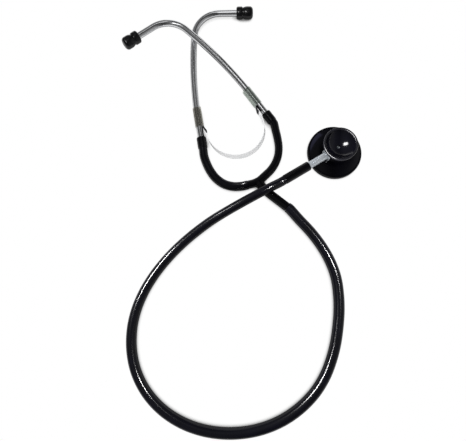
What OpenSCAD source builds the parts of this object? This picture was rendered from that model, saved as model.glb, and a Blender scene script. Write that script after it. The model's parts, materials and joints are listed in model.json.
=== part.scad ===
// Dual-head stethoscope, laid flat on a table as it comes to rest: the chestpiece stands on its
// diaphragm with the bell upwards, the tubing lies in one loop, and the relaxed headset has its
// ear tubes crossed, the right one over the left. Left and right are as seen from above.
// Millimetres, +Z up. The origin is the centre of the diaphragm's contact face.

/* [Chestpiece head] */
// Diameter over the diaphragm ring
disc_d = 47; // [44:0.5:50]
// Radial wall of the diaphragm ring
ring_wall = 1.6; // [1.2:0.1:2.2]
// Height of the diaphragm ring
ring_h = 5; // [4:0.1:5.6]
// Radial width of the lip that holds the diaphragm's edge
ring_lip = 2.6; // [2:0.1:3.2]
// Thickness of the diaphragm
diaphragm_t = 0.4; // [0.3:0.05:0.6]
// Height of the diaphragm's edge above its contact face
diaphragm_rise = 0.7; // [0.5:0.05:0.9]
// Depth of the sound chamber behind the diaphragm
chamber_depth = 1.9; // [1:0.1:2.4]
// Height of the dish's back where it meets the hub
dish_back_z = 7.3; // [6.8:0.1:7.8]
// Diameter of the hub between dish and bell
hub_d = 17.2; // [16.4:0.1:18.4]
// Height from the contact face to the top of the bell rim
head_h = 24; // [23.4:0.1:26]
// Diameter over the bell rim
bell_d = 28.5; // [27.5:0.5:32]
// Radial wall of the bell rim outside the bell's lip
rim_wall = 0.8; // [0.6:0.1:1.4]
// Width of the bell's flat lip
lip_w = 1.1; // [0.9:0.1:2]
// Thickness of the bell's lip
lip_t = 1.4; // [1:0.1:2]
// Thickness of the rubber on top of the bell's lip
rim_top = 1.55; // [1:0.05:2]
// Metal left between the valve bore and the floor of the bell
bell_floor = 2; // [0.6:0.1:2.4]
// Diameter of the sound channels to the bell and the diaphragm
channel_d = 3; // [2.4:0.1:3.4]

/* [Rotary valve] */
// Height of the stem's axis
stem_z = 11; // [10.6:0.1:11.4]
// Direction of the stem, from the head to the tube
stem_az = 211; // [205:1:217]
// Diameter of the valve spindle
spindle_d = 5; // [4.8:0.1:5.4]
// How far the spindle reaches past the head's centre
spindle_tail = 5.2; // [4.8:0.1:6]
// Radial running clearance of the spindle
valve_gap = 0.05; // [0.02:0.01:0.08]
// Diameter of the stem's sound bore
lumen_d = 2.4; // [2:0.1:2.6]
// Diameter of the port that meets one channel at a time
port_d = 2.2; // [1.8:0.1:2.6]
// Outside diameter of the bearing bush
bush_d = 6.6; // [6.2:0.1:7]
// Length of the bush inside the head
bush_len = 4.7; // [4:0.1:5]
// Diameter of the bush's flange
bush_flange_d = 9.4; // [8.6:0.1:9.6]
// Thickness of the bush's flange
bush_flange_t = 0.9; // [0.6:0.1:1.4]
// Diameter of the boss that holds the bush
boss_d = 9.8; // [9.7:0.1:11]
// Distance from the head's centre to the end of the boss
boss_reach = 10.7; // [10.4:0.1:12]
// Diameter of the detent ball
ball_d = 2.4; // [2:0.1:2.6]
// Distance of the detent from the head's centre
detent_x = 3.6; // [3.2:0.1:3.8]
// Depth of the detent's track in the spindle
track_depth = 0.4; // [0.3:0.05:0.5]
// How much deeper the two click dimples are
dimple_depth = 0.2; // [0.1:0.05:0.3]
// Diameter of the grub screws
grub_d = 2.4; // [2:0.1:2.6]
// Distance of the retaining screw from the head's centre
retainer_x = 3.4; // [3.2:0.1:3.6]
// Section of the spindle's rubber seal
seal_t = 0.8; // [0.6:0.05:0.9]

/* [Stem] */
// Diameter of the bright barrel of the stem
stem_d = 6; // [5.6:0.1:6.6]
// Distance from the head's centre to the end of the barrel
stem_reach = 28.5; // [27:0.5:31]
// Length of the hose barb
barb_len = 14; // [12:0.5:16]
// Diameter over the barbs
barb_d = 5.4; // [5:0.1:5.6]

/* [Tubing] */
// Outside diameter of the long tube at the fork
tube_d = 8.8; // [8.2:0.1:9]
// Outside diameter of the long tube at the chestpiece
tube_thin_d = 7.6; // [7.2:0.1:8]
// Outside diameter of the two short arms at the cuffs
arm_cuff_d = 7.3; // [7:0.1:7.6]
// Outside diameter of the two short arms at the fork
arm_d = 6.8; // [6.5:0.1:7.2]
// Bore of the tubing
tube_bore = 4; // [3.4:0.1:4.2]
// Outside diameter of the tube's thick end on the stem
chest_cuff_d = 8.1; // [7.8:0.1:8.6]
// Length of that end
chest_cuff_len = 24; // [20:1:26]
// Outside diameter of the moulded fork's stub
fork_d = 7.9; // [7.5:0.1:8]
// Outside diameter of the fork's two arms
fork_arm_d = 7.3; // [7.2:0.1:7.4]
// Length of the fork's stub past its bend
fork_stub = 17.5; // [15:0.5:19]
// Reach of the fork's two arms from its centre
fork_reach = 9; // [8:0.5:10]
// Outside diameter of the cuffs on the ear tubes
cuff_d = 8.4; // [8:0.1:9]
// Length of those cuffs
cuff_len = 10; // [9.5:0.5:12]

/* [Headset] */
// Outside diameter of the ear tubes
ear_d = 5.7; // [5.2:0.1:6]
// Wall of the ear tubes
ear_wall = 0.6; // [0.4:0.1:0.8]
// Depth of an ear tube in its cuff
ear_grip = 8; // [7:0.5:8.5]
// Straight part of the left ear tube above its cuff
left_straight = 16.5; // [14:0.5:20]
// Straight part of the right ear tube above its cuff
right_straight = 21; // [19:0.5:24]
// Radius of the long bow
bow_r = 370; // [340:5:400]
// Angle of the long bow
bow_a = 12; // [10:0.5:14]
// Straight between the bow and the elbow
ear_mid = 6; // [4:0.5:8]
// Radius of the elbow
elbow_r = 24; // [22:0.5:26]
// Angle of the left elbow
left_turn = 87; // [84:1:90]
// Angle of the right elbow
right_turn = 77; // [74:1:80]
// Straight from the elbow to the ear tip
ear_end = 15.3; // [13:0.1:18]
// Diameter of the ear tips
tip_d = 11; // [10.4:0.1:11.6]
// Length of the ear tips
tip_len = 15.4; // [14:0.1:17]
// Length of the ear tip's collar
tip_collar = 6; // [5.4:0.1:6.6]
// Diameter of the ear tip's collar
tip_collar_d = 10.8; // [10:0.1:11.2]
// Sound bore of the ear tips
tip_bore = 2.4; // [2:0.1:3]

/* [Leaf spring] */
// Clearance between the spring's bow and the cuffs
spring_gap = 0.6; // [0.5:0.1:1]
// Thickness of the spring
spring_t = 0.6; // [0.5:0.1:0.9]
// Height of the spring strip
spring_h = 7; // [6:0.5:8]
// Height of the spring's two tabs
tab_h = 5; // [4:0.5:5.5]
// Distance of the spring's sleeves from the cuffs
sleeve_x = 10; // [9:0.5:11]
// Length of those sleeves
sleeve_len = 17.5; // [15:0.5:18.5]
// Wall of those sleeves
sleeve_wall = 0.4; // [0.3:0.1:0.7]

/* [Hidden] */
$fn = 64;

// Clearance of pieces that are pressed, glued or clamped together
seat_gap = 0.02;
// Overshoot of a cut past the face that it opens
past = 1;
// Clearance inside the sleeves, which the tubes' long bow takes up
sleeve_gap = 0.18;
// How far a bend laps into its straights, and how much thinner it is drawn all round
bend_lap = 0.4;
bend_draw = 0.015;

// Where the fork and the two cuffs lie, and which way they point
fork_at = [-67.5, -27.6];
fork_stub_az = -46;
fork_stub_turn = 7.5;
fork_left_az = 194;
fork_right_az = 44;
left_at = [-117, 13.4];
left_az = 99.8;
right_at = [-60.1, 36.3];
right_az = 128;
// The relaxed right ear tube is lifted so that its ear tip passes over the left one
tip_clearance = 0.7;

// Heights that follow from what rests on the table
fork_z = tube_d / 2;
fork_neck = 10.5;
fork_bend_r = 40;
tube_ease = 2;
left_tip_z = tip_d / 2;
right_tip_z = left_tip_z + tip_d + tip_clearance;
left_pitch = asin((left_tip_z - cuff_d / 2) / (ear_reach(left_straight, left_turn, -1) + cuff_len));
right_pitch = asin((right_tip_z - cuff_d / 2) / (ear_reach(right_straight, right_turn, 1) + cuff_len));
left_z = cuff_d / 2 + cuff_len * sin(left_pitch);
right_z = cuff_d / 2 + cuff_len * sin(right_pitch);

// Head profile
ring_r = disc_d / 2;
ring_bore_r = ring_r - ring_wall;
body_r = ring_bore_r - valve_gap;
edge_r = ring_bore_r - 0.15;
seat_z = diaphragm_rise + diaphragm_t + 0.05;
chamber_r = ring_r - ring_lip - 0.6;
rim_r = bell_d / 2;
lip_r = rim_r - rim_wall;
lip_z = head_h - rim_top;
bowl_r = lip_r - lip_w;
bowl_z = stem_z + bush_d / 2 + bell_floor;
bowl_depth = lip_z - bowl_z;
bowl_arc_r = (bowl_r * bowl_r + bowl_depth * bowl_depth) / (2 * bowl_depth);
hub_r = hub_d / 2;
hub_fillet = 2.5;
waist_z = stem_z + 1.6;

// Valve positions along the stem
bore_d = spindle_d + 2 * valve_gap;
bush_x = boss_reach - bush_len;
flange_x = boss_reach + bush_flange_t;
shoulder_x = flange_x + 0.2;
lumen_x = -port_d / 2 - 0.5;
ball_y = spindle_d / 2 - track_depth + ball_d / 2 + seat_gap;
seal_x = bush_x + bush_len / 2;
seal_ring_r = spindle_d / 2 + 0.03 - seal_t / 2;
grub_seat = 0.3;

// The free tube's route round the table, after the fork and before the chestpiece: chosen points
// on the centre line, each with the height of the tube's underside above the table. The last ones
// are where the tube climbs over the fork's stub
loop_route = [
    [-33.2, -59.8, 0], [-23.3, -71, 0], [-14.8, -83, 0],
    [-8.3, -95.5, 0], [-4.2, -108.5, 0], [-2.8, -122, 0], [-3, -135, 0],
    [-4.6, -148, 0], [-7.2, -161, 0], [-11.2, -173.5, 0], [-17, -186, 0],
    [-25.4, -197.8, 0], [-36.2, -208, 0], [-49.2, -216.5, 0], [-64, -222.6, 0],
    [-79.8, -225.9, 0], [-96.3, -226.5, 0], [-112.9, -224.2, 0], [-129, -218.7, 0],
    [-143.8, -209.8, 0], [-156, -197.8, 0], [-164.8, -183.2, 0], [-169.4, -167.2, 0],
    [-170.2, -150.8, 0], [-167.6, -135.3, 0], [-162.2, -121, 0], [-155, -108.2, 0],
    [-146.8, -97, 0], [-138, -87, 0], [-128.4, -77.7, 0], [-118, -69, 0.2],
    [-106.6, -60.8, 1.2], [-93.6, -53.2, 3.7], [-79.3, -45.6, 6.9], [-66.5, -38.9, 8.8],
    [-57.5, -34.1, 8.8]
];
// The two short arms, from the cuff to the fork
left_route = [
    [-114.3, -3.5, 0.3], [-112, -10.3, 0], [-108.6, -17.2, 0], [-103.8, -23.6, 0],
    [-97, -28.7, 0], [-89, -31, 0], [-81.9, -30.9, 0.2]
];
right_route = [
    [-51.2, 20.5, 0.3], [-49.6, 13, 0], [-48.7, 5, 0], [-49.5, -3, 0],
    [-52.2, -10.3, 0], [-56, -16.1, 0.1]
];

// Vectors and turned directions
function unit(v) = v / norm(v);
function flat_dir(az) = [cos(az), sin(az), 0];
function turn_z(v, a) = [v.x * cos(a) - v.y * sin(a), v.x * sin(a) + v.y * cos(a), v.z];
function raise(v, a) = [v.x * cos(a) - v.z * sin(a), v.y, v.x * sin(a) + v.z * cos(a)];

// Where a bent ear tube ends in its own plane: straight, bow, straight, elbow and end leg
function bend_end(p, az, r, a, side) =
    p + r * [sin(az + side * a) - sin(az), cos(az) - cos(az + side * a), 0] * side;
function ear_far(straight, turn, side) =
    let (
        p1 = [straight, 0, 0],
        p2 = bend_end(p1, 0, bow_r, bow_a, side),
        p3 = p2 + ear_mid * flat_dir(side * bow_a),
        p4 = bend_end(p3, side * bow_a, elbow_r, turn, side)
    )
    p4 + (ear_end + tip_len / 2) * flat_dir(side * (bow_a + turn));
function ear_reach(straight, turn, side) = norm(ear_far(straight, turn, side));
function ear_chord_az(straight, turn, side) =
    let (p = ear_far(straight, turn, side)) atan2(p.y, p.x);
// A point of the ear tube's own frame, put on the table
function on_table(p, at, z, az, pitch, chord) =
    [at.x, at.y, z] + turn_z(raise(turn_z(p, -chord), pitch), az + chord);
left_chord = ear_chord_az(left_straight, left_turn, -1);
right_chord = ear_chord_az(right_straight, right_turn, 1);
function left_point(p) = on_table(p, left_at, left_z, left_az, left_pitch, left_chord);
function right_point(p) = on_table(p, right_at, right_z, right_az, right_pitch, right_chord);

// The spring's bow, and the points where a short link joins it to each tab
tab_y = ear_d / 2 + 0.1 + spring_t / 2;
spring_at = [-86.6, 21];
spring_from = -174;
spring_to = 41;
spring_z = spring_h / 2 + 1.5;
link_h = spring_h - 1.4;
// How near a cuff comes to the middle of the bow, in plan
function cuff_near(at, az) =
    let (v = spring_at - at, across = abs(v.x * sin(az) - v.y * cos(az)), along = v.x * cos(az) + v.y * sin(az))
    norm([across - cuff_d / 2, max(along, 0)]);
spring_r = min(cuff_near(left_at, left_az), cuff_near(right_at, right_az)) - spring_gap - spring_t / 2;
function on_bow(a) = spring_at + spring_r * [cos(a), sin(a)];
tab_x = sleeve_x - 0.4;
left_tab = left_point([tab_x, -tab_y, 0]);
right_tab = right_point([tab_x, tab_y, 0]);

// Points of an arc in a profile
function arc(c, r, from, to, steps) =
    [for (k = [0:steps]) c + r * [cos(from + (to - from) * k / steps), sin(from + (to - from) * k / steps)]];

// A smooth curve through a route's points
function spline_point(a, b, c, d, t) =
    0.5 * (2 * b + (c - a) * t + (2 * a - 5 * b + 4 * c - d) * t * t + (3 * b - a - 3 * c + d) * t * t * t);
function spline(p, steps) =
    let (last = len(p) - 1)
    concat(
        [for (i = [0:last - 1], k = [0:steps - 1])
            spline_point(p[max(i - 1, 0)], p[i], p[i + 1], p[min(i + 2, last)], k / steps)],
        [p[last]]
    );

// A route's points, lifted from the height of the underside to that of the centre line
function lifted(p, d) = [for (q = p) q + [0, 0, d / 2]];

// A round bar swept along points: one ring of corners at each point, from diameter d0 to d1. With
// an ease above 1, most of the change comes towards the end
// The first and last rings square up to the pieces that they meet, along t0 and t1
function ring_at(p, i, d, sides, t0, t1) =
    let (
        last = len(p) - 1,
        t = i == 0 ? unit(t0) : i == last ? unit(t1) : unit(p[i + 1] - p[i - 1]),
        side = unit(cross(t, [0, 0, 1])),
        up = cross(side, t)
    )
    [for (k = [0:sides - 1]) p[i] + d / 2 * (cos(360 * k / sides) * side + sin(360 * k / sides) * up)];
module sweep(p, d0, d1, sides, t0, t1, ease = 1) {
    rings = len(p);
    polyhedron(
        points = [for (i = [0:rings - 1])
            each ring_at(p, i, d0 + (d1 - d0) * pow(i / (rings - 1), ease), sides, t0, t1)],
        faces = concat(
            [[for (k = [sides - 1:-1:0]) k]],
            [for (i = [0:rings - 2], k = [0:sides - 1])
                [i * sides + k, i * sides + (k + 1) % sides, (i + 1) * sides + (k + 1) % sides]],
            [for (i = [0:rings - 2], k = [0:sides - 1])
                [i * sides + k, (i + 1) * sides + (k + 1) % sides, (i + 1) * sides + k]],
            [[for (k = [0:sides - 1]) (rings - 1) * sides + k]]
        )
    );
}

// A rod along +X from x0 to x1
module rod(x0, x1, d) {
    translate([x0, 0, 0])
        rotate([0, 90, 0])
            cylinder(h = x1 - x0, d = d);
}
// The stem's frame: +X runs from the head's centre out along the stem
module at_stem() {
    translate([0, 0, stem_z])
        rotate([0, 0, stem_az])
            children();
}
// A screw or ball hole across the hub, on the +Y side of the stem's frame
module across(x, y0, y1, d) {
    translate([x, y0, 0])
        rotate([-90, 0, 0])
            cylinder(h = y1 - y0, d = d, $fn = 32);
}
// A bend that starts along +X and turns towards +Y for side 1, or -Y for side -1. It is drawn in a
// hair as it is bent, and laps into the straights at both ends
module bend(r, a, side, d) {
    lap = bend_lap / r * 180 / PI;
    translate([0, side * r, 0])
        rotate([0, 0, side > 0 ? -90 - lap : 90 - a - lap])
            rotate_extrude(angle = a + 2 * lap)
                translate([r, 0])
                    circle(d = d - 2 * bend_draw);
}
module after_bend(r, a, side) {
    translate([0, side * r, 0])
        rotate([0, 0, side * a])
            translate([0, -side * r, 0])
                children();
}
// The ear tubes' frames: +X leaves the cuff along the tube
module place_ear(at, z, az, pitch, chord) {
    translate([at.x, at.y, z])
        rotate([0, 0, az + chord])
            rotate([0, -pitch, 0])
                rotate([0, 0, -chord])
                    children();
}
module at_left() {
    place_ear(left_at, left_z, left_az, left_pitch, left_chord) children();
}
module at_right() {
    place_ear(right_at, right_z, right_az, right_pitch, right_chord) children();
}
module at_tip(straight, turn, side) {
    translate([straight, 0, 0])
        after_bend(bow_r, bow_a, side)
            translate([ear_mid, 0, 0])
                after_bend(elbow_r, turn, side)
                    translate([ear_end, 0, 0])
                        children();
}

module head_profile() {
    flare_r = lip_r - hub_r;
    flare_z = lip_z - lip_t - waist_z;
    flare_a = 2 * atan(flare_r / flare_z);
    flare_arc = flare_z / sin(flare_a);
    back_r = hub_r + hub_fillet;
    back_z = ring_h - 0.1;
    polygon(concat(
        [[0, seat_z + chamber_depth], [chamber_r, seat_z + 0.5], [chamber_r, seat_z], [body_r, seat_z]],
        [for (k = [0:5])
            let (f = k / 5)
            [body_r + (back_r - body_r) * f, dish_back_z - (dish_back_z - back_z) * (1 - f) * (1 - f)]],
        arc([back_r, dish_back_z + hub_fillet], hub_fillet, 255, 180, 5),
        arc([hub_r + flare_arc, waist_z], flare_arc, 180, 180 - flare_a, 8),
        [[lip_r, lip_z], [bowl_r, lip_z]],
        arc([0, bowl_z + bowl_arc_r], bowl_arc_r, asin(bowl_r / bowl_arc_r) - 90, -90, 8)
    ));
}
module head_body() {
    color([0.05, 0.05, 0.06])
        difference() {
            union() {
                rotate_extrude() head_profile();
                at_stem() rod(0, boss_reach, boss_d);
            }
            translate([0, 0, seat_z])
                cylinder(h = stem_z - seat_z, d = channel_d);
            translate([0, 0, stem_z])
                cylinder(h = bowl_z - stem_z + past, d = channel_d);
            at_stem() {
                rod(-spindle_tail - 0.4, bush_x + past, bore_d);
                rod(bush_x, boss_reach + past, bush_d);
                rod(boss_reach, flange_x + 0.5, bush_flange_d + 0.3);
                across(detent_x, 0, hub_r + past, ball_d + 0.1);
                mirror([0, 1, 0]) across(-retainer_x, 0, hub_r + past, grub_d + 0.1);
            }
        }
}
module bell_rim() {
    color([0.04, 0.04, 0.05])
        rotate_extrude()
            polygon(concat(
                [[bowl_r + 0.1, lip_z + seat_gap], [lip_r + seat_gap, lip_z + seat_gap],
                    [lip_r + seat_gap, lip_z - lip_t - 0.2]],
                arc([rim_r - 0.35, lip_z - lip_t + 0.15], 0.35, -90, 0, 3),
                arc([rim_r - 0.8, head_h - 0.8], 0.8, 0, 90, 5),
                arc([bowl_r + 0.6, head_h - 0.5], 0.5, 90, 180, 4)
            ));
}
module diaphragm() {
    flat_r = chamber_r - 0.2;
    color([0.1, 0.1, 0.11])
        rotate_extrude()
            polygon([
                [0, 0], [flat_r, 0], [flat_r + 0.5, diaphragm_rise], [edge_r, diaphragm_rise],
                [edge_r, diaphragm_rise + diaphragm_t], [flat_r + 0.2, diaphragm_rise + diaphragm_t],
                [flat_r - 0.3, diaphragm_t], [0, diaphragm_t]
            ]);
}
module diaphragm_ring() {
    lip_r0 = ring_r - ring_lip;
    lip_top = diaphragm_rise - seat_gap;
    color([0.06, 0.06, 0.07])
        rotate_extrude()
            polygon(concat(
                [[lip_r0 + 0.3, 0.2], [ring_r - 0.7, 0.2]],
                arc([ring_r - 0.7, 0.9], 0.7, -90, 0, 4),
                arc([ring_r - 1.1, ring_h - 1.1], 1.1, 0, 80, 5),
                [[ring_bore_r, ring_h], [ring_bore_r, lip_top], [lip_r0, lip_top], [lip_r0, 0.45]]
            ));
}
module stem_bush() {
    color([0.82, 0.83, 0.85])
        at_stem()
            difference() {
                union() {
                    rod(bush_x, boss_reach, bush_d - 2 * seat_gap);
                    rod(boss_reach, flange_x, bush_flange_d);
                }
                rod(bush_x - past, flange_x + past, bore_d);
            }
}
module detent_ball() {
    color([0.8, 0.8, 0.82])
        at_stem()
            translate([detent_x, ball_y, 0])
                sphere(d = ball_d, $fn = 32);
}
// Inner and outer ends of the detent's grub screw
detent_screw_y1 = sqrt(hub_r * hub_r - detent_x * detent_x) - grub_seat;
detent_screw_y0 = detent_screw_y1 - 1.3;
module detent_spring() {
    wire = 0.3;
    turns = 3;
    y0 = ball_y + ball_d / 2 + wire / 2 - 0.15;
    y1 = detent_screw_y0 - wire / 2 - seat_gap;
    coil_r = ball_d / 2 - 0.25;
    color([0.7, 0.7, 0.72])
        at_stem()
            translate([detent_x, 0, 0])
                sweep([for (k = [0:12 * turns])
                    [coil_r * cos(30 * k), y0 + (y1 - y0) * k / (12 * turns), coil_r * sin(30 * k)]],
                    wire, wire, 6, [0, 0.15, 1], [0, 0.15, 1]);
}
module grub(y0, y1) {
    difference() {
        across(0, y0, y1, grub_d);
        translate([0, y1 - 0.8, 0])
            rotate([-90, 0, 0])
                cylinder(h = past + 0.8, d = 1.3, $fn = 6);
    }
}
module detent_screw() {
    color([0.25, 0.25, 0.27])
        at_stem()
            translate([detent_x, 0, 0])
                grub(detent_screw_y0, detent_screw_y1);
}
module retaining_screw() {
    point_y = spindle_d / 2 - 0.5;
    shank_y = spindle_d / 2 + valve_gap + 0.3;
    color([0.25, 0.25, 0.27])
        at_stem()
            mirror([0, 1, 0])
                translate([-retainer_x, 0, 0]) {
                    across(0, point_y, shank_y, grub_d - 1);
                    grub(shank_y, sqrt(hub_r * hub_r - retainer_x * retainer_x) - grub_seat);
                }
}
module stem() {
    ribs = 7;
    rib_pitch = 1.2;
    rib_end = 2.3;
    rib_x = stem_reach - rib_end - (ribs - 1) * rib_pitch;
    barbs = 4;
    barb_pitch = (barb_len - 1.5) / barbs;
    color([0.8, 0.82, 0.85])
        at_stem()
            difference() {
                union() {
                    rod(-spindle_tail, shoulder_x, spindle_d);
                    rod(shoulder_x, stem_reach, stem_d);
                    rod(stem_reach, stem_reach + barb_len, barb_d - 0.9);
                    for (k = [0:barbs - 1])
                        translate([stem_reach + 1.5 + k * barb_pitch, 0, 0])
                            rotate([0, 90, 0])
                                cylinder(h = barb_pitch - 0.6, d1 = barb_d, d2 = barb_d - 0.8);
                }
                rod(lumen_x, stem_reach + barb_len + past, lumen_d);
                cylinder(h = spindle_d, d = port_d);
                groove(-retainer_x, 0.6, grub_d - 0.8);
                groove(seal_x, seal_t + 0.05 - 0.03, seal_t + 0.3);
                for (k = [0:ribs - 1])
                    translate([rib_x + k * rib_pitch, 0, 0])
                        collar_cut(stem_d, 0.25, 0.5);
                translate([detent_x, 0, 0])
                    rotate([0, 90, 0])
                        rotate_extrude()
                            translate([ball_y, 0])
                                circle(d = ball_d + 2 * seat_gap);
                for (s = [-1, 1])
                    translate([detent_x, s * (ball_y - dimple_depth), 0])
                        sphere(d = ball_d + 2 * seat_gap, $fn = 32);
            }
}
// A square groove round the spindle
module groove(x, depth, width) {
    translate([x, 0, 0])
        collar_cut(spindle_d, depth, width);
}
module collar_cut(d, depth, width) {
    difference() {
        rod(-width / 2, width / 2, d + past);
        rod(-width / 2 - past, width / 2 + past, d - 2 * depth);
    }
}
module stem_seal() {
    color([0.12, 0.12, 0.12])
        at_stem()
            translate([seal_x, 0, 0])
                rotate([0, 90, 0])
                    rotate_extrude()
                        translate([seal_ring_r, 0])
                            circle(d = seal_t, $fn = 24);
}

// A straight rubber end with rounded lips, along +X from x0 to x1
module rubber_end(x0, x1, d, lip0, lip1) {
    translate([x0, 0, 0])
        rotate([0, 90, 0])
            rotate_extrude()
                polygon(concat(
                    [[0, 0]],
                    arc([d / 2 - lip0, lip0], lip0, -90, 0, 4),
                    arc([d / 2 - lip1, x1 - x0 - lip1], lip1, 0, 90, 4),
                    [[0, x1 - x0]]
                ));
}
module chest_cuff() {
    barb_end = stem_reach + barb_len + 0.5;
    color([0.07, 0.07, 0.08])
        at_stem()
            difference() {
                rubber_end(stem_reach, stem_reach + chest_cuff_len, chest_cuff_d, 0.8, 0.2);
                rod(stem_reach - past, barb_end, barb_d + 2 * seat_gap);
                rod(barb_end - past, stem_reach + chest_cuff_len + past, tube_bore);
            }
}
function fork_point(az, reach) = [fork_at.x, fork_at.y, fork_z] + reach * flat_dir(az);
// A point of the fork's stub, past its bend
function stub_point(reach) =
    fork_point(fork_stub_az, fork_neck)
    + bend_end([0, 0, 0], fork_stub_az, fork_bend_r, fork_stub_turn, 1)
    + reach * flat_dir(fork_stub_az + fork_stub_turn);
chest_end = [0, 0, stem_z] + (stem_reach + chest_cuff_len) * flat_dir(stem_az);
function tube_at(i) = tube_d + (tube_thin_d - tube_d) * pow(i / (len(loop_route) - 1), tube_ease);
main_route = concat(
    [stub_point(fork_stub), stub_point(fork_stub + 3)],
    [for (i = [0:len(loop_route) - 1]) loop_route[i] + [0, 0, tube_at(i) / 2]],
    [chest_end + 5 * flat_dir(stem_az), chest_end]
);
module main_tube() {
    color([0.07, 0.07, 0.08])
        sweep(spline(main_route, 2), tube_d, tube_thin_d, 12,
            flat_dir(fork_stub_az + fork_stub_turn), -flat_dir(stem_az), tube_ease);
}
// The fork's curved run between its two arms, from the left end over to the right one
module fork_run(d, over) {
    turn = fork_right_az - (fork_left_az - 180);
    bend_r = 20;
    flat = fork_reach - bend_r * tan(turn / 2);
    rotate([0, 0, fork_left_az - 180])
        translate([-fork_reach, 0, 0]) {
            rod(-over, flat, d);
            translate([flat, 0, 0]) {
                bend(bend_r, turn, 1, d);
                after_bend(bend_r, turn, 1) rod(0, flat + over, d);
            }
        }
}
// The stub that takes the long tube, with its own slight bend
module fork_leg(x0, d, over) {
    rotate([0, 0, fork_stub_az]) {
        rod(x0, fork_neck, d);
        translate([fork_neck, 0, 0]) {
            bend(fork_bend_r, fork_stub_turn, 1, d);
            after_bend(fork_bend_r, fork_stub_turn, 1) rod(0, fork_stub + over, d);
        }
    }
}
module y_junction() {
    color([0.07, 0.07, 0.08])
        translate([fork_at.x, fork_at.y, fork_z])
            difference() {
                union() {
                    fork_run(fork_arm_d, 0);
                    fork_leg(2.5, fork_d, 0);
                    rotate([0, 0, fork_stub_az])
                        rotate([0, 90, 0])
                            cylinder(h = 3, d1 = fork_arm_d - 0.1, d2 = fork_d + 0.1);
                }
                fork_run(tube_bore - 0.2, past);
                fork_leg(0, tube_bore, past);
            }
}
left_arm_route = concat(
    [left_point([-cuff_len, 0, 0]), left_point([-cuff_len - 2.5, 0, 0])],
    lifted(left_route, arm_d),
    [fork_point(fork_left_az, fork_reach + 2), fork_point(fork_left_az, fork_reach)]
);
right_arm_route = concat(
    [right_point([-cuff_len, 0, 0]), right_point([-cuff_len - 2.5, 0, 0])],
    lifted(right_route, arm_d),
    [fork_point(fork_right_az, fork_reach + 2), fork_point(fork_right_az, fork_reach)]
);
module arm_left() {
    color([0.07, 0.07, 0.08])
        sweep(spline(left_arm_route, 2), arm_cuff_d, arm_d, 12,
            left_point([-1, 0, 0]) - left_point([0, 0, 0]), -flat_dir(fork_left_az));
}
module arm_right() {
    color([0.07, 0.07, 0.08])
        sweep(spline(right_arm_route, 2), arm_cuff_d, arm_d, 12,
            right_point([-1, 0, 0]) - right_point([0, 0, 0]), -flat_dir(fork_right_az));
}
module ear_cuff() {
    color([0.06, 0.06, 0.07])
        difference() {
            rubber_end(-cuff_len, 0, cuff_d, 0.5, 1);
            rod(-ear_grip - 0.2, past, ear_d + 2 * seat_gap);
            rod(-cuff_len - past, -ear_grip, tube_bore);
        }
}
module cuff_left() {
    at_left() ear_cuff();
}
module cuff_right() {
    at_right() ear_cuff();
}

// A strip on edge from one plan point to another, with a lap past both
module strip(p, q, z, h) {
    lap = 0.25;
    d = [q.x - p.x, q.y - p.y];
    translate([p.x, p.y, z])
        rotate([0, 0, atan2(d.y, d.x)])
            translate([-lap, -spring_t / 2, -h / 2])
                cube([norm(d) + 2 * lap, spring_t, h]);
}
module spring_tab(side) {
    translate([tab_x, side * tab_y - spring_t / 2, -tab_h / 2])
        cube([sleeve_x + sleeve_len - 2 - tab_x, spring_t, tab_h]);
}
module leaf_spring() {
    color([0.85, 0.86, 0.88])
        union() {
            translate([spring_at.x, spring_at.y, spring_z - spring_h / 2])
                rotate([0, 0, spring_from])
                    rotate_extrude(angle = spring_to - spring_from, $fn = 128)
                        translate([spring_r - spring_t / 2, 0])
                            square([spring_t, spring_h]);
            strip(left_tab, on_bow(spring_from), spring_z + 0.1, link_h);
            strip(right_tab, on_bow(spring_to), spring_z + 0.3, link_h);
            at_left() spring_tab(-1);
            at_right() spring_tab(1);
        }
}
// The clear sleeve's section: round over the tube, square-shouldered over the spring's tab
module sleeve_section(side, grow) {
    tab_far = tab_y + spring_t / 2 + grow;
    tab_up = tab_h / 2 + grow;
    corner = max(grow, 0.1);
    circle(d = ear_d + 2 * grow);
    translate([0, side > 0 ? 0 : -tab_far + corner])
        square([1, tab_far - corner]);
    for (s = [-1, 1])
        translate([s > 0 ? 0 : -tab_up, side > 0 ? 0 : -tab_far + corner])
            square([tab_up, tab_far - corner]);
    translate([-tab_up + corner, side > 0 ? 0 : -tab_far])
        square([2 * (tab_up - corner), tab_far]);
    for (s = [-1, 1])
        translate([s * (tab_up - corner), side * (tab_far - corner)])
            circle(r = corner, $fn = 24);
}
module spring_sleeve(side) {
    color([0.85, 0.88, 0.9, 0.5])
        translate([sleeve_x, 0, 0])
            rotate([0, 90, 0])
                difference() {
                    linear_extrude(sleeve_len) sleeve_section(side, sleeve_wall + sleeve_gap);
                    translate([0, 0, -past])
                        linear_extrude(sleeve_len + 2 * past) sleeve_section(side, sleeve_gap);
                }
}
module spring_sleeve_left() {
    at_left() spring_sleeve(-1);
}
module spring_sleeve_right() {
    at_right() spring_sleeve(1);
}

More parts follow.
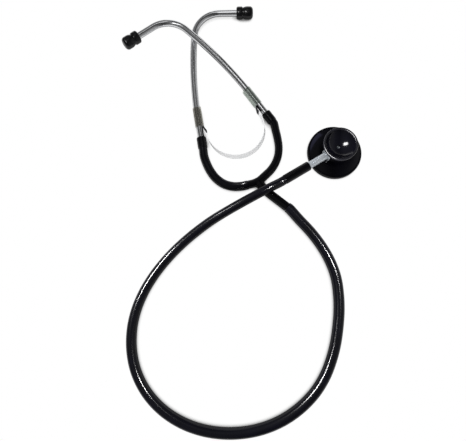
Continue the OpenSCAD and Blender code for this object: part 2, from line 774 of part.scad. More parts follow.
tip_grip = 7;
module ear_run(straight, turn, side, d, over) {
    rod(-ear_grip - over, straight, d);
    translate([straight, 0, 0]) {
        bend(bow_r, bow_a, side, d);
        after_bend(bow_r, bow_a, side) {
            rod(0, ear_mid, d);
            translate([ear_mid, 0, 0]) {
                bend(elbow_r, turn, side, d);
                after_bend(elbow_r, turn, side)
                    rod(0, ear_end + tip_grip + over, d);
            }
        }
    }
}
module ear_tube(straight, turn, side) {
    color([0.8, 0.82, 0.85])
        difference() {
            ear_run(straight, turn, side, ear_d, 0);
            ear_run(straight, turn, side, ear_d - 2 * ear_wall, past);
        }
}
module ear_tube_left() {
    at_left() ear_tube(left_straight, left_turn, -1);
}
module ear_tube_right() {
    at_right() ear_tube(right_straight, right_turn, 1);
}
// The ear tip: a rounded collar and a bulb with a flattened end, bored for tube and sound
module ear_tip() {
    bulb_r = tip_d / 2;
    bulb_x = tip_len - 5.4;
    end_r = 3;
    neck_x = tip_collar + 0.5;
    color([0.03, 0.03, 0.04])
        difference() {
            rotate([0, 90, 0])
                rotate_extrude()
                    polygon(concat(
                        [[0, 0]],
                        arc([tip_collar_d / 2 - 1.6, 1.6], 1.6, -90, 0, 5),
                        arc([tip_collar_d / 2 - 1.3, tip_collar - 1.3], 1.3, 0, 70, 5),
                        [for (a = [32:-8:0]) [bulb_r * cos(a), bulb_x - (bulb_x - neck_x) / sin(32) * sin(a)]],
                        arc([bulb_r - end_r, tip_len - end_r], end_r, 10, 90, 6),
                        [[0, tip_len]]
                    ));
            rod(-past, tip_grip + 0.2, ear_d + 2 * seat_gap);
            rod(tip_grip - past, tip_len + past, tip_bore);
        }
}
module ear_tip_left() {
    at_left() at_tip(left_straight, left_turn, -1) ear_tip();
}
module ear_tip_right() {
    at_right() at_tip(right_straight, right_turn, 1) ear_tip();
}

head_body();
bell_rim();
diaphragm();
diaphragm_ring();
stem_bush();
detent_ball();
detent_spring();
detent_screw();
retaining_screw();
stem();
stem_seal();
chest_cuff();
main_tube();
y_junction();
arm_left();
arm_right();
cuff_left();
cuff_right();
leaf_spring();
spring_sleeve_left();
spring_sleeve_right();
ear_tube_left();
ear_tube_right();
ear_tip_left();
ear_tip_right();
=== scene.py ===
import json
import math
import bpy
import bmesh
from mathutils import Matrix, Vector


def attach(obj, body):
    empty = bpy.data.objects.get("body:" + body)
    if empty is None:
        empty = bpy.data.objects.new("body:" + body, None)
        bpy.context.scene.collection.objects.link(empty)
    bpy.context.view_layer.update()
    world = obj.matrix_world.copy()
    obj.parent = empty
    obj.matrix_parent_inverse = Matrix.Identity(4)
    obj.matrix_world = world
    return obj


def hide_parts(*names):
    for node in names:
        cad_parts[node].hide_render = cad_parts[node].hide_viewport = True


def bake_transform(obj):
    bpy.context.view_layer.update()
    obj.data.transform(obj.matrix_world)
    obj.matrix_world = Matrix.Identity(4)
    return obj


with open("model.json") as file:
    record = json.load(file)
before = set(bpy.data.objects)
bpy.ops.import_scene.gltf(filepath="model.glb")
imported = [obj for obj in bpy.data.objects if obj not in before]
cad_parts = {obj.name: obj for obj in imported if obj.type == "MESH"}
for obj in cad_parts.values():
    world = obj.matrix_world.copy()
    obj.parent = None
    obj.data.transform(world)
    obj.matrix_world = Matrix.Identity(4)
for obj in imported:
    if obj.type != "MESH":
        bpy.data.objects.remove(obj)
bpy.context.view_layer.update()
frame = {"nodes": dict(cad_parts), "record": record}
nodes = frame["nodes"]
scene = bpy.context.scene
mm = 0.001
bothSides = ("left", "right")  # as seen in the photograph, by where each ear tube leaves its cuff

# Camera: above the table and a little in front, as the photograph was taken; in millimetres
cameraSet = {
    "place": (-88.95, -114.3, 307.3),
    "target": (-88.95, -60.1, 0),
    "lens": 28.1,
    "sensor": 36.0,
    "near": 5,
    "far": 10000,
}
cameraData = bpy.data.cameras.new("camera")
cameraData.lens = cameraSet["lens"]
cameraData.sensor_width = cameraSet["sensor"]
cameraData.sensor_fit = "HORIZONTAL"
cameraData.clip_start = cameraSet["near"] * mm
cameraData.clip_end = cameraSet["far"] * mm
camera = bpy.data.objects.new("camera", cameraData)
scene.collection.objects.link(camera)
camera.location = Vector(cameraSet["place"]) * mm
gaze = (Vector(cameraSet["target"]) - Vector(cameraSet["place"])).normalized()
camera.rotation_euler = gaze.to_track_quat("-Z", "Y").to_euler()
scene.camera = camera
print("camera placed")


# Colours are given as sRGB hex and turned into linear light
def linear(hexText):
    parts = [int(hexText[i:i + 2], 16) / 255 for i in (1, 3, 5)]
    return tuple(p / 12.92 if p <= 0.04045 else ((p + 0.055) / 1.055) ** 2.4 for p in parts) + (1.0,)


# One function adds a node with its settings and links
def addNode(tree, kind, inputs=None, **settings):
    item = tree.nodes.new(kind)
    for key, value in settings.items():
        setattr(item, key, value)
    for key, value in (inputs or {}).items():
        socket = item.inputs[key]
        if isinstance(value, bpy.types.NodeSocket):
            tree.links.new(value, socket)
        else:
            socket.default_value = value
    return item


def freshTree(owner):
    owner.use_nodes = True
    owner.node_tree.nodes.clear()
    return owner.node_tree


# Each stop is a place from 0 to 1 with a colour, or with one grey level
def setRamp(item, stops):
    elements = item.color_ramp.elements
    while len(elements) < len(stops):
        elements.new(0.5)
    for element, (place, shade) in zip(elements, stops):
        element.position = place
        element.color = shade if isinstance(shade, tuple) else (shade, shade, shade, 1.0)
    return item.outputs[0]


# The same look can't serve every ray: what is seen directly or through a clear piece, what shows in
# reflections, and what lights the object softly are three shaders
def mixByRay(tree, seen, mirrored, soft):
    rays = addNode(tree, "ShaderNodeLightPath").outputs
    direct = addNode(tree, "ShaderNodeMath", {0: rays["Is Camera Ray"], 1: rays["Is Transmission Ray"]},
                     operation="MAXIMUM")
    unseen = addNode(tree, "ShaderNodeMixShader", {0: rays["Is Glossy Ray"], 1: soft, 2: mirrored})
    mixed = addNode(tree, "ShaderNodeMixShader", {0: direct.outputs[0], 1: unseen.outputs[0], 2: seen})
    return mixed.outputs[0]


# Two shades in slow patches of handling, and on some surfaces a fine grain in roughness and relief
surfaceSet = {"patchFrom": 0.35, "patchTo": 0.65, "patchDetail": 2.0, "grainDetail": 3.0}


def makeSurface(name, look):
    material = bpy.data.materials.new(name)
    tree = freshTree(material)
    place = addNode(tree, "ShaderNodeTexCoord").outputs["Object"]
    patches = addNode(tree, "ShaderNodeTexNoise", {"Vector": place, "Scale": 1000 / look["patchMm"],
                                                   "Detail": surfaceSet["patchDetail"]}).outputs[0]
    darker, lighter = [linear(hexText) for hexText in look["colours"]]
    colour = setRamp(addNode(tree, "ShaderNodeValToRGB", {"Fac": patches}),
                     [(surfaceSet["patchFrom"], darker), (surfaceSet["patchTo"], lighter)])
    sockets = {"Base Color": colour, "Roughness": look["rough"], "Metallic": look.get("metallic", 0.0),
               "Specular IOR Level": look.get("specular", 0.5)}
    if "grainMm" in look:
        grain = addNode(tree, "ShaderNodeTexNoise", {"Vector": place, "Scale": 1000 / look["grainMm"],
                                                     "Detail": surfaceSet["grainDetail"]}).outputs[0]
        spread = look["roughSpread"]
        rough = addNode(tree, "ShaderNodeMath", {0: grain, 1: spread, 2: look["rough"] - spread / 2},
                        operation="MULTIPLY_ADD")
        sockets["Roughness"] = rough.outputs[0]
        if "relief" in look:
            bump = addNode(tree, "ShaderNodeBump", {"Height": grain, "Strength": look["relief"],
                                                    "Distance": look["reliefMm"] * mm})
            sockets["Normal"] = bump.outputs[0]
    shader = addNode(tree, "ShaderNodeBsdfPrincipled", sockets).outputs[0]
    addNode(tree, "ShaderNodeOutputMaterial", {"Surface": shader})
    return material


looks = {
    # Extruded black PVC: deep, faintly blue, shiny enough to show each lamp as a thin streak
    "tubing_pvc": {"colours": ("#030305", "#040408"), "rough": 0.17, "patchMm": 14, "specular": 0.25},
    # Turned aluminium, anodised black and polished: sharp small highlights on a deep black
    "black_anodised": {"colours": ("#040406", "#06060c"), "rough": 0.13, "patchMm": 20, "specular": 0.22},
    # Moulded black PVC of the bell's rim: broad soft highlights
    "rim_rubber": {"colours": ("#060608", "#09090d"), "rough": 0.24, "roughSpread": 0.06, "grainMm": 0.6,
                   "patchMm": 12},
    # Glass-fibre laminate of the diaphragm: dark grey, dull, with a fine weave's grain
    "diaphragm_laminate": {"colours": ("#1c1c1f", "#252529"), "rough": 0.38, "roughSpread": 0.12,
                           "grainMm": 0.4, "patchMm": 5, "relief": 0.2, "reliefMm": 0.01},
    # Brass tube, bent, polished and chromed: it mirrors the table and the room
    "chromed_brass": {"colours": ("#d6d7d9", "#dcdddf"), "rough": 0.1, "patchMm": 30, "metallic": 1.0},
    # Turned brass of the stem and its bush under a satin plating: pale, with no clear reflections
    "satin_plating": {"colours": ("#bdc3c9", "#c6cbd0"), "rough": 0.33, "patchMm": 8, "metallic": 0.6},
    # Spring steel strip, painted nearly as white as the table: a painted reflection of the white table on
    # its faces
    "spring_steel": {"colours": ("#f7f8f9", "#fcfcfd"), "rough": 0.35, "patchMm": 10},
    # The same strip, dark over the last rings of the bow, the shoulders and the start of the tab
    "dark_strip": {"colours": ("#23262c", "#30343b"), "rough": 0.3, "roughSpread": 0.1, "grainMm": 0.5,
                    "patchMm": 3, "relief": 0.05, "reliefMm": 0.004, "metallic": 0.9},
    # Blackened steel of the grub screws: dark grey with a dull shine
    "screw_steel": {"colours": ("#26262a", "#303034"), "rough": 0.35, "roughSpread": 0.1, "grainMm": 0.3,
                    "patchMm": 2, "relief": 0.1, "reliefMm": 0.004, "metallic": 0.8},
    # Soft moulded rubber of the ear tips: glossy black
    "eartip_rubber": {"colours": ("#050506", "#08080a"), "rough": 0.2, "roughSpread": 0.06, "grainMm": 0.7,
                      "patchMm": 8, "specular": 0.3},
}
materials = {name: makeSurface(name, look) for name, look in looks.items()}

# Clear PVC sleeves: most light goes through, and the sides that are seen edge on turn grey. The grain
# in their roughness has seven grains in 10 mm
clearSet = {"grainMm": 10 / 7, "grainDetail": 2.0, "rough": 0.12, "roughSpread": 0.08, "edgeBlend": 0.35,
            "bodyShare": [(0.0, 0.06), (0.6, 0.15), (1.0, 0.7)]}
clearLooks = {
    "clear_sleeve": {"through": "#e6e9e6", "body": "#a2a8a6"},
    "greyed_sleeve": {"through": "#e0dfdb", "body": "#96958f"},
}


def makeClear(name, look):
    material = bpy.data.materials.new(name)
    tree = freshTree(material)
    place = addNode(tree, "ShaderNodeTexCoord").outputs["Object"]
    grain = addNode(tree, "ShaderNodeTexNoise", {"Vector": place, "Scale": 1000 / clearSet["grainMm"],
                                                 "Detail": clearSet["grainDetail"]}).outputs[0]
    rough = addNode(tree, "ShaderNodeMath", {0: grain, 1: clearSet["roughSpread"], 2: clearSet["rough"]},
                    operation="MULTIPLY_ADD").outputs[0]
    body = addNode(tree, "ShaderNodeBsdfPrincipled", {"Base Color": linear(look["body"]),
                                                      "Roughness": rough})
    through = addNode(tree, "ShaderNodeBsdfTransparent", {"Color": linear(look["through"])})
    facing = addNode(tree, "ShaderNodeLayerWeight", {"Blend": clearSet["edgeBlend"]}).outputs["Facing"]
    amount = setRamp(addNode(tree, "ShaderNodeValToRGB", {"Fac": facing}), clearSet["bodyShare"])
    mixed = addNode(tree, "ShaderNodeMixShader", {0: amount, 1: through.outputs[0], 2: body.outputs[0]})
    addNode(tree, "ShaderNodeOutputMaterial", {"Surface": mixed.outputs[0]})
    return material


for name, look in clearLooks.items():
    materials[name] = makeClear(name, look)

# Edges sharper than this many degrees stay sharp, and corners closer than seamMm are one
sharpFrom = {"solids": 35, "turned": 32, "tubes": 40, "strip": 30}
seamMm = 0.001


def paint(obj, slotName):
    obj.data.materials.clear()
    obj.data.materials.append(materials[slotName])


def smoothByAngle(obj, degrees):
    for polygon in obj.data.polygons:
        polygon.use_smooth = True
    corners = obj.modifiers.new("corners", "EDGE_SPLIT")
    corners.split_angle = math.radians(degrees)
    corners.use_edge_sharp = False


for part in frame["record"]["subparts"]:
    paint(nodes[part["node"]], part["material_slot"])
    smoothByAngle(nodes[part["node"]], sharpFrom["solids"])
for name in ("stem", "stem_bush"):
    paint(nodes[name], "satin_plating")
paint(nodes["spring_sleeve_left"], "greyed_sleeve")
print("materials made")


# A copy of a node's mesh with its faces joined and shaded round, or of the faces that keep(face) picks
def smoothCopy(node, name, body, slotName, keep=None):
    bm = bmesh.new()
    bm.from_mesh(nodes[node].data)
    bmesh.ops.remove_doubles(bm, verts=bm.verts, dist=seamMm * mm)
    if keep:
        bmesh.ops.delete(bm, geom=[face for face in bm.faces if not keep(face)], context="FACES")
    mesh = bpy.data.meshes.new(name)
    bm.to_mesh(mesh)
    bm.free()
    if "custom_normal" in mesh.attributes:
        mesh.attributes.remove(mesh.attributes["custom_normal"])
    mesh.shade_smooth()
    mesh.set_sharp_from_angle(angle=math.radians(sharpFrom["turned"]))
    obj = bpy.data.objects.new(name, mesh)
    obj.matrix_world = nodes[node].matrix_world
    scene.collection.objects.link(obj)
    paint(obj, slotName)
    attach(obj, body)
    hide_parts(node)
    return obj


# The head in two, so that a lamp can be kept to the bell's bowl: the faces that lie in it and look up
# at least a little, and the rest
bowl = {"radius": 12.36, "floor": 16.3, "leastUp": 0.3}


def inBowl(face):
    centre = face.calc_center_median()
    nearAxis = math.hypot(centre.x, centre.y) < bowl["radius"] * mm
    return nearAxis and centre.z > bowl["floor"] * mm and face.normal.z > bowl["leastUp"]


bellBowl = smoothCopy("head_body", "bell_bowl", "head", "black_anodised", inBowl)
turnedHead = smoothCopy("head_body", "turned_head", "head", "black_anodised", lambda face: not inBowl(face))
softRim = smoothCopy("bell_rim", "soft_rim", "head", "rim_rubber")
softTips = [smoothCopy("ear_tip_" + name, "soft_tip_" + name, "ear_" + name, "eartip_rubber")
            for name in bothSides]
print("turned pieces smoothed")


# Directions and bends in plan, as the tubes are laid out
def flatDir(degrees):
    return Vector((math.cos(math.radians(degrees)), math.sin(math.radians(degrees)), 0))


def bendEnd(start, az, radius, turn, side):
    a, b = math.radians(az), math.radians(az + side * turn)
    return start + side * radius * Vector((math.sin(b) - math.sin(a), math.cos(a) - math.cos(b), 0))


# A point on the curve from b to c, with a before them and d after them
def splinePoint(a, b, c, d, t):
    squared = 2 * a - 5 * b + 4 * c - d
    cubed = 3 * b - a - 3 * c + d
    return 0.5 * (2 * b + (c - a) * t + squared * t * t + cubed * t ** 3)


# A smooth line in metres through points in millimetres
def smoothLine(points, steps=8):
    line = []
    last = len(points) - 1
    for i in range(last):
        around = [points[max(i - 1, 0)], points[i], points[i + 1], points[min(i + 2, last)]]
        line += [splinePoint(*around, k / steps) * mm for k in range(steps)]
    return line + [points[last] * mm]


# A closed skin over rings of points, one ring after the other
def closedRings(name, rings):
    mesh = bpy.data.meshes.new(name)
    bm = bmesh.new()
    made = [[bm.verts.new(point) for point in ring] for ring in rings]
    for a, b in zip(made, made[1:]):
        for k in range(len(a)):
            j = (k + 1) % len(a)
            bm.faces.new((a[k], a[j], b[j], b[k]))
    bm.faces.new(made[0][::-1])
    bm.faces.new(made[-1])
    bmesh.ops.recalc_face_normals(bm, faces=bm.faces)
    bm.to_mesh(mesh)
    bm.free()
    obj = bpy.data.objects.new(name, mesh)
    scene.collection.objects.link(obj)
    return obj


def sweepTube(name, line, radii, slotName, corners=64):
    rings = []
    last = len(line) - 1
    for i, point in enumerate(line):
        along = (line[min(i + 1, last)] - line[max(i - 1, 0)]).normalized()
        side = along.cross(Vector((0, 0, 1))).normalized()
        up = side.cross(along)
        angles = [2 * math.pi * k / corners for k in range(corners)]
        rings.append([point + radii[i] * (math.cos(a) * side + math.sin(a) * up) for a in angles])
    obj = closedRings(name, rings)
    smoothByAngle(obj, sharpFrom["tubes"])
    paint(obj, slotName)
    return obj


# The fork, in plan: where it lies, its stub's bend and its three ends
fork = {
    "at": Vector((-67.5, -27.6, 4.4)),
    "stubAz": -46,
    "neck": 10.5,
    "bendR": 40,
    "stubTurn": 7.5,
    "stub": 17.5,
    "leftAz": 194,
    "rightAz": 44,
    "reach": 9,
}


def stubPoint(reach):
    bendStart = fork["at"] + fork["neck"] * flatDir(fork["stubAz"])
    bendStop = bendEnd(bendStart, fork["stubAz"], fork["bendR"], fork["stubTurn"], 1)
    return bendStop + reach * flatDir(fork["stubAz"] + fork["stubTurn"])


# The stem points this way from the chestpiece, and the long tube begins where the cuff on it stops
stem = {"az": 211, "z": 11, "tubeStart": 52.5}
chestEnd = Vector((0, 0, stem["z"])) + stem["tubeStart"] * flatDir(stem["az"])

# The long tube, from the fork's stub to the chestpiece: chosen points on its way round the table, with
# the height of its underside; the last ones are where it climbs over the stub
longTube = {
    "thick": 8.8,
    "thin": 7.6,
    "ease": 2,  # above 1, most of the thinning comes near the chestpiece
    "outOfStub": 3,
    "ontoStem": 5,
    "route": [
        (-33.2, -59.8, 0), (-23.3, -71, 0), (-14.8, -83, 0), (-8.3, -95.5, 0), (-4.2, -108.5, 0),
        (-2.8, -122, 0), (-3, -135, 0), (-4.6, -148, 0), (-7.2, -161, 0), (-11.2, -173.5, 0),
        (-17, -186, 0), (-25.4, -197.8, 0), (-36.2, -208, 0), (-49.2, -216.5, 0), (-64, -222.6, 0),
        (-79.8, -225.9, 0), (-96.3, -226.5, 0), (-112.9, -224.2, 0), (-129, -218.7, 0),
        (-143.8, -209.8, 0), (-156, -197.8, 0), (-164.8, -183.2, 0), (-169.4, -167.2, 0),
        (-170.2, -150.8, 0), (-167.6, -135.3, 0), (-162.2, -121, 0), (-155, -108.2, 0),
        (-146.8, -97, 0), (-138, -87, 0), (-128.4, -77.7, 0), (-118, -69, 0.2), (-106.6, -60.8, 1.2),
        (-93.6, -53.2, 3.7), (-79.3, -45.6, 6.9), (-66.5, -38.9, 8.8), (-57.5, -34.1, 8.8),
    ],
}


def tubeWidth(share):
    return longTube["thick"] + (longTube["thin"] - longTube["thick"]) * share ** longTube["ease"]


routeLast = len(longTube["route"]) - 1
tubePoints = [stubPoint(fork["stub"]), stubPoint(fork["stub"] + longTube["outOfStub"])]
for i, (x, y, lift) in enumerate(longTube["route"]):
    tubePoints.append(Vector((x, y, lift + tubeWidth(i / routeLast) / 2)))
tubePoints += [chestEnd + longTube["ontoStem"] * flatDir(stem["az"]), chestEnd]
tubeLine = smoothLine(tubePoints)
tubeRadii = [tubeWidth(i / (len(tubeLine) - 1)) / 2 * mm for i in range(len(tubeLine))]
mainTube = sweepTube("long_tube", tubeLine, tubeRadii, "tubing_pvc")
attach(mainTube, "tubing")
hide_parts("main_tube")

# The ear tubes in their own plane, from the cuff's mouth to the ear tip: a straight start, a long bow,
# a short straight, the elbow and the end; and how each lies on the table
earTubes = {
    "width": 5.7,
    "hidden": 4,  # how far each end reaches into its cuff or its tip
    "bowR": 370,
    "bowTurn": 12,
    "mid": 6,
    "elbowR": 24,
    "end": 15.3,
    "tipLen": 15.4,
    "tipWidth": 11,
    "tipGap": 0.7,
    "cuffLen": 10,
    "cuffWidth": 8.4,
    "straightSteps": 4,
    "leastBendSteps": 12,
    "stepTurn": 2,  # degrees from one ring to the next round the elbow
    "left": {"at": (-117, 13.4), "az": 99.8, "straight": 16.5, "turn": 87, "side": -1},
    "right": {"at": (-60.1, 36.3), "az": 128, "straight": 21, "turn": 77, "side": 1},
}


# The right tube crosses over the left one, so its tip lies a tip's width and a gap higher
def earFrame(name):
    one = earTubes[name]
    side, bowAz = one["side"], one["side"] * earTubes["bowTurn"]
    far = bendEnd(Vector((one["straight"], 0, 0)), 0, earTubes["bowR"], earTubes["bowTurn"], side)
    far = bendEnd(far + earTubes["mid"] * flatDir(bowAz), bowAz, earTubes["elbowR"], one["turn"], side)
    far += (earTubes["end"] + earTubes["tipLen"] / 2) * flatDir(bowAz + side * one["turn"])
    tipZ = earTubes["tipWidth"] / 2
    if name == "right":
        tipZ += earTubes["tipWidth"] + earTubes["tipGap"]
    pitch = math.asin((tipZ - earTubes["cuffWidth"] / 2) / (far.length + earTubes["cuffLen"]))
    chord = math.atan2(far.y, far.x)
    low = earTubes["cuffWidth"] / 2 + earTubes["cuffLen"] * math.sin(pitch)
    return (Matrix.Translation((*one["at"], low)) @ Matrix.Rotation(math.radians(one["az"]) + chord, 4, "Z")
            @ Matrix.Rotation(-pitch, 4, "Y") @ Matrix.Rotation(-chord, 4, "Z"))


earFrames = {name: earFrame(name) for name in bothSides}


# The bent tube's middle line, with its two ends hidden in the cuff and in the ear tip
def earLine(name):
    one = earTubes[name]
    side, at, az = one["side"], Vector((0, 0, 0)), 0
    line = [at - earTubes["hidden"] * flatDir(0), at]
    stretches = [(one["straight"], 0, 0), (0, earTubes["bowR"], earTubes["bowTurn"]),
                 (earTubes["mid"], 0, 0), (0, earTubes["elbowR"], one["turn"]),
                 (earTubes["end"] + earTubes["hidden"], 0, 0)]
    for length, radius, turn in stretches:
        if radius:
            steps = max(earTubes["leastBendSteps"], round(turn / earTubes["stepTurn"]))
            line += [bendEnd(at, az, radius, turn * k / steps, side) for k in range(1, steps + 1)]
            at, az = line[-1], az + side * turn
        else:
            steps = earTubes["straightSteps"]
            line += [at + length * k / steps * flatDir(az) for k in range(1, steps + 1)]
            at = line[-1]
    return [(earFrames[name] @ point) * mm for point in line]


chromedTubes = {}
for name in bothSides:
    earTubeLine = earLine(name)
    earTubeRadii = [earTubes["width"] / 2 * mm] * len(earTubeLine)
    chromed = sweepTube("chromed_tube_" + name, earTubeLine, earTubeRadii, "chromed_brass")
    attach(chromed, "ear_" + name)
    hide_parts("ear_tube_" + name)
    chromedTubes[name] = chromed

# The short arms, each from the fork to its cuff, with the width at the fork, in the middle and at the cuff
arms = {
    "outOfFork": 2,
    "intoCuff": 2.5,
    "heldRings": 4,  # at each end, where the arm sits in the fork or in the cuff
    "left": {"widths": (7.8, 7.7, 7.4),
             "route": [(-81.9, -30.9, 0.2), (-89, -31, 0), (-97, -28.7, 0), (-103.8, -23.6, 0),
                       (-108.6, -17.2, 0), (-112, -10.3, 0), (-114.3, -3.5, 0.3)]},
    "right": {"widths": (7.3, 6.8, 7.3),
              "route": [(-56, -16.1, 0.1), (-52.2, -10.3, 0), (-49.5, -3, 0), (-48.7, 5, 0),
                        (-49.6, 13, 0), (-51.2, 20.5, 0.3)]},
}


def armWidth(name, share):
    atFork, atMiddle, atCuff = arms[name]["widths"]
    if share < 0.5:
        return atFork + (atMiddle - atFork) * share * 2
    return atMiddle + (atCuff - atMiddle) * (share * 2 - 1)


shortArms = []
for name in bothSides:
    route = arms[name]["route"]
    armPoints = [fork["at"] + reach * flatDir(fork[name + "Az"])
                 for reach in (fork["reach"], fork["reach"] + arms["outOfFork"])]
    lead = len(armPoints)
    for i, (x, y, lift) in enumerate(route):
        share = (i + lead) / (len(route) + lead)
        armPoints.append(Vector((x, y, lift + armWidth(name, share) / 2)))
    armPoints += [earFrames[name] @ Vector((-earTubes["cuffLen"] - back, 0, 0))
                  for back in (arms["intoCuff"], 0)]
    armLine = smoothLine(armPoints)
    armRadii = [armWidth(name, i / (len(armLine) - 1)) / 2 * mm for i in range(len(armLine))]
    arm = sweepTube("short_arm_" + name, armLine, armRadii, "tubing_pvc")
    shortArms.append(arm)
    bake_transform(arm)
    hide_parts("arm_" + name)
print("tubes made")

# The fork: its solid with the moulding's soft fillets worn into the crotches
moulding = {"voxelMm": 0.35, "rounds": 14, "strength": 0.6}
forkPiece = bpy.data.objects.new("moulded_fork", nodes["y_junction"].data.copy())
scene.collection.objects.link(forkPiece)
remesh = forkPiece.modifiers.new("voxels", "REMESH")
remesh.mode = "VOXEL"
remesh.voxel_size = moulding["voxelMm"] * mm
fillets = forkPiece.modifiers.new("fillets", "SMOOTH")
fillets.factor = moulding["strength"]
fillets.iterations = moulding["rounds"]
bpy.context.view_layer.update()
filleted = forkPiece.evaluated_get(bpy.context.evaluated_depsgraph_get())
mouldedMesh = bpy.data.meshes.new_from_object(filleted)
forkPiece.modifiers.clear()
forkPiece.data = mouldedMesh
for polygon in mouldedMesh.polygons:
    polygon.use_smooth = True
paint(forkPiece, "tubing_pvc")
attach(forkPiece, "tubing")
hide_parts("y_junction")
print("fork made")

# The leaf spring: a strip on edge, in two halves, one for each ear tube. Each half runs round
# the bow from its middle, narrows over the shoulders and ends in a tab along its tube, inside the sleeve
spring = {
    "centre": Vector((-86.6, 21, 0)),
    "radius": 25.55,
    "leftEnd": -174,
    "rightEnd": 41,
    "steps": 60,
    "z": 5.0,
    "thick": 0.6,
    "height": 7.0,
    "bevelShare": 0.3,
    "crownShare": 0.4,
    "lean": (-0.17, 0.17),  # along x and y, for each millimetre up
    "leanSteps": 15,  # the lean fades over this many rings before the end of the bow
    "shoulders": (6.2, 5.6, 5.2),
    "tab": 5.0,
    "tabSteps": 6,
    "tabGap": 0.1,
    "tabFrom": 9.8,
    "tabTo": 25.5,
    "darkRingsBefore": 3,
    "darkRingsAfter": 4,
}
cornersOfStrip = 8


# Each ring of the strip has a rounded edge at the top and at the bottom
def stripMesh(name, line, heights, leanShares):
    thick = spring["thick"] * mm
    crown = spring["crownShare"]
    bevel = Vector((0, 0, thick * spring["bevelShare"]))
    rings = []
    last = len(line) - 1
    for i, point in enumerate(line):
        along = line[min(i + 1, last)] - line[max(i - 1, 0)]
        side = Vector((along.y, -along.x, 0)).normalized() * thick / 2
        leanX, leanY = [amount * leanShares[i] for amount in spring["lean"]]
        rise = Vector((leanX, leanY, 1)) * heights[i] / 2
        low, high = point - rise, point + rise
        rings.append([low - side * crown, low + side * crown, low + side + bevel, high + side - bevel,
                      high + side * crown, high - side * crown, high - side - bevel, low - side + bevel])
    obj = closedRings(name, rings)
    smoothByAngle(obj, sharpFrom["strip"])
    return obj


springMiddle = (spring["leftEnd"] + spring["rightEnd"]) / 2
tabY = earTubes["width"] / 2 + spring["tabGap"] + spring["thick"] / 2
for name in bothSides:
    side, steps = earTubes[name]["side"], spring["steps"]
    turn = spring[name + "End"] - springMiddle
    bow = [spring["centre"] + spring["radius"] * flatDir(springMiddle + turn * k / steps)
           + Vector((0, 0, spring["z"])) for k in range(steps + 1)]
    tabStart = earFrames[name] @ Vector((spring["tabFrom"], side * tabY, 0))
    tabEnd = earFrames[name] @ Vector((spring["tabTo"], side * tabY, 0))
    shoulders, tabSteps = spring["shoulders"], spring["tabSteps"]
    shoulderSteps = len(shoulders) + 1
    springLine = bow + [bow[-1].lerp(tabStart, k / shoulderSteps) for k in range(1, shoulderSteps)]
    springLine += [tabStart.lerp(tabEnd, k / tabSteps) for k in range(tabSteps + 1)]
    springLine = [point * mm for point in springLine]
    heights = [spring["height"]] * len(bow) + [*shoulders] + [spring["tab"]] * (tabSteps + 1)
    heights = [height * mm for height in heights]
    leanShares = [max(0, min(1, (steps - k) / spring["leanSteps"])) for k in range(len(springLine))]
    springHalf = stripMesh("spring_half_" + name, springLine, heights, leanShares)
    # The strip's near-white colour is a painted reflection of the white table
    paint(springHalf, "spring_steel")
    # The last rings of the bow, the shoulders and the start of the tab take the dark strip material
    springHalf.data.materials.append(materials["dark_strip"])
    darkFrom, darkTo = steps - spring["darkRingsBefore"], steps + spring["darkRingsAfter"]
    for polygon in springHalf.data.polygons:
        ringsOfFace = [corner // cornersOfStrip for corner in polygon.vertices]
        if min(ringsOfFace) >= darkFrom and max(ringsOfFace) <= darkTo:
            polygon.material_index = 1
    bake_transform(springHalf)
    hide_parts("leaf_spring")
print("spring made")

# Table: white, with a narrow contact shadow where it is seen and a wide soft one where it is mirrored.
# Each stop gives how open a point is, and how white it looks there
table = {
    "size": 3.0,
    "dropMm": 0.02,
    "nearMm": 5.0,
    "nearSamples": 16,
    "contact": [(0.0, 0.02), (0.3, 0.2), (0.52, 0.8), (0.66, 1.0)],
    "wideMm": 30.0,
    "wideSamples": 8,
    "mirrored": [(0.3, 0.05), (0.8, 0.3), (0.97, 1.0)],
    "softStrength": 0.95,
}
reach = table["size"] / 2
tableMesh = bpy.data.meshes.new("table")
tableMesh.from_pydata([(-reach, -reach, 0), (reach, -reach, 0), (reach, reach, 0), (-reach, reach, 0)], [],
                      [(0, 1, 2, 3)])
tableTop = bpy.data.objects.new("table", tableMesh)
scene.collection.objects.link(tableTop)
tableTop.location.z = -table["dropMm"] * mm
tableMaterial = bpy.data.materials.new("white_table")
tree = freshTree(tableMaterial)
near = addNode(tree, "ShaderNodeAmbientOcclusion", {"Distance": table["nearMm"] * mm},
               samples=table["nearSamples"]).outputs["AO"]
contact = setRamp(addNode(tree, "ShaderNodeValToRGB", {"Fac": near}), table["contact"])
wide = addNode(tree, "ShaderNodeAmbientOcclusion", {"Distance": table["wideMm"] * mm},
               samples=table["wideSamples"]).outputs["AO"]
shadow = setRamp(addNode(tree, "ShaderNodeValToRGB", {"Fac": wide}), table["mirrored"])
seen = addNode(tree, "ShaderNodeEmission", {"Color": contact, "Strength": 1.0}).outputs[0]
mirrored = addNode(tree, "ShaderNodeEmission", {"Color": shadow, "Strength": 1.0}).outputs[0]
soft = addNode(tree, "ShaderNodeEmission", {"Color": contact, "Strength": table["softStrength"]}).outputs[0]
addNode(tree, "ShaderNodeOutputMaterial", {"Surface": mixByRay(tree, seen, mirrored, soft)})
tableMesh.materials.append(tableMaterial)

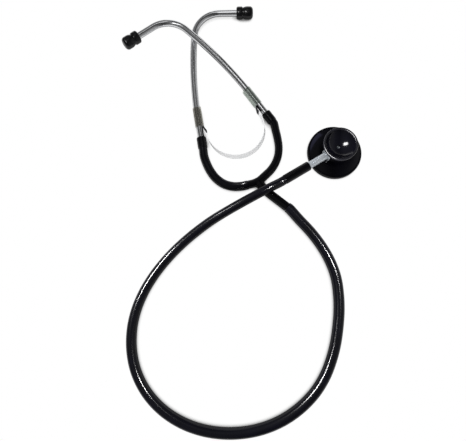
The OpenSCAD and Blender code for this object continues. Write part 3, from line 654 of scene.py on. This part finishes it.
# World: white where it is seen, soft white light all round, and in reflections a dim room with a darker
# strip, from its left side at 0 to its right side at 1
room = {
    "soft": 1.0,
    "levels": [(0.1, 0.1), (0.25, 0.2), (0.42, 0.2), (0.5, 0.12), (0.58, 0.05), (0.66, 0.06), (0.78, 0.14),
               (0.9, 0.38)],
}
whiteLight = (1.0, 1.0, 1.0, 1.0)
world = bpy.data.worlds.new("studio")
scene.world = world
tree = freshTree(world)
white = addNode(tree, "ShaderNodeBackground", {"Color": whiteLight, "Strength": 1.0}).outputs[0]
soft = addNode(tree, "ShaderNodeBackground", {"Color": whiteLight, "Strength": room["soft"]}).outputs[0]
towards = addNode(tree, "ShaderNodeTexCoord").outputs["Generated"]
sideways = addNode(tree, "ShaderNodeSeparateXYZ", {0: towards}).outputs["X"]
leftToRight = addNode(tree, "ShaderNodeMath", {0: sideways, 1: 0.5, 2: 0.5}, operation="MULTIPLY_ADD")
level = setRamp(addNode(tree, "ShaderNodeValToRGB", {"Fac": leftToRight.outputs[0]}), room["levels"])
dim = addNode(tree, "ShaderNodeBackground", {"Color": level, "Strength": 1.0}).outputs[0]
addNode(tree, "ShaderNodeOutputWorld", {"Surface": mixByRay(tree, white, dim, soft)})

# Lamps: panels hung over the table, with a low one in front and a window low behind; in metres and
# degrees. Radiance is how bright a panel looks. Each is kept to the pieces it is "for", or off the
# pieces it is "notFor", as a photographer's flags and grids would do
tipsAndStem = [*softTips, nodes["stem"], nodes["stem_bush"]]
headPieces = [bellBowl, turnedHead, softRim, nodes["diaphragm_ring"]]
blackPieces = [mainTube, forkPiece, *shortArms, *headPieces]
lamps = {
    "left": {"at": (-0.41, -0.012, 0.9), "turns": (0, 0, 51.6), "size": (0.11, 0.4), "radiance": 30,
             "for": tipsAndStem},
    "right": {"at": (-0.3, -0.23, 0.9), "turns": (0, 0, 24.5), "size": (0.3, 0.05), "radiance": 42,
              "for": tipsAndStem},
    "tube_left": {"at": (-0.838, 0.271, 0.9), "turns": (0, 0, 2), "size": (0.06, 0.5), "radiance": 600,
                  "for": [mainTube]},
    "tube_right": {"at": (0.315, -0.005, 0.9), "turns": (0, 0, 11), "size": (0.07, 0.08), "radiance": 550,
                   "for": [mainTube]},
    "over_arms": {"at": (-0.42, 0.787, 0.9), "turns": (0, 0, 0), "size": (0.1, 0.4), "radiance": 200,
                  "for": [shortArms[0]]},
    "over_bell": {"at": (-0.44, 0.09, 0.9), "turns": (0, 0, 0), "size": (0.46, 0.27), "radiance": 65,
                  "for": [bellBowl]},
    "low_front": {"at": (-0.61, -0.43, 0.4), "turns": (62, 0, -55), "size": (1.2, 0.5), "radiance": 40,
                  "for": [softRim]},
    "strip_left": {"at": (-0.335, -0.05, 0.9), "turns": (0, 0, 0), "size": (0.08, 0.5), "radiance": 3,
                   "notFor": blackPieces},
    "strip_back": {"at": (-0.1, 0.4, 0.9), "turns": (0, 0, 0), "size": (0.08, 0.48), "radiance": 1.1,
                   "notFor": blackPieces},
    "window": {"at": (0.0, 0.85, 0.12), "turns": (-90, 0, 0), "size": (0.5, 0.25), "radiance": 1.1,
               "notFor": headPieces},
    "sky": {"at": (-0.6, 0.5, 0.5), "turns": (57.4, 0, -130), "size": (1.3, 0.6), "radiance": 1.25,
            "colour": (0.55, 0.55, 1.0), "for": [turnedHead]},
    "bend_spot": {"at": (-0.3, -0.165, 0.9), "turns": (0, 0, 0), "size": (0.11, 0.4), "radiance": 2.5,
                  "for": [chromedTubes["right"]]},
    "end_band": {"at": (-0.114, 0.1, 0.9), "turns": (0, 0, 0), "size": (0.1, 0.3), "radiance": 1.6,
                 "for": [chromedTubes["left"]]},
}


def addPanel(name, panel):
    width, height = panel["size"]
    data = bpy.data.lights.new(name, "AREA")
    data.shape = "RECTANGLE"
    data.size = width
    data.size_y = height
    data.energy = panel["radiance"] * math.pi * width * height
    data.color = panel.get("colour", (1.0, 1.0, 1.0))
    light = bpy.data.objects.new(name, data)
    scene.collection.objects.link(light)
    light.location = panel["at"]
    light.rotation_euler = [math.radians(turn) for turn in panel["turns"]]
    light.visible_camera = False
    return light


def keepLight(light, pieces, mode):
    group = bpy.data.collections.new(light.name + "_lamp")
    for piece in pieces:
        group.objects.link(piece)
    light.light_linking.receiver_collection = group
    for entry in group.collection_objects:
        entry.light_linking.link_state = mode


for name, panel in lamps.items():
    light = addPanel(name, panel)
    if "for" in panel:
        keepLight(light, panel["for"], "INCLUDE")
    else:
        keepLight(light, panel["notFor"], "EXCLUDE")
print("stage made")

scene.view_settings.view_transform = "Standard"
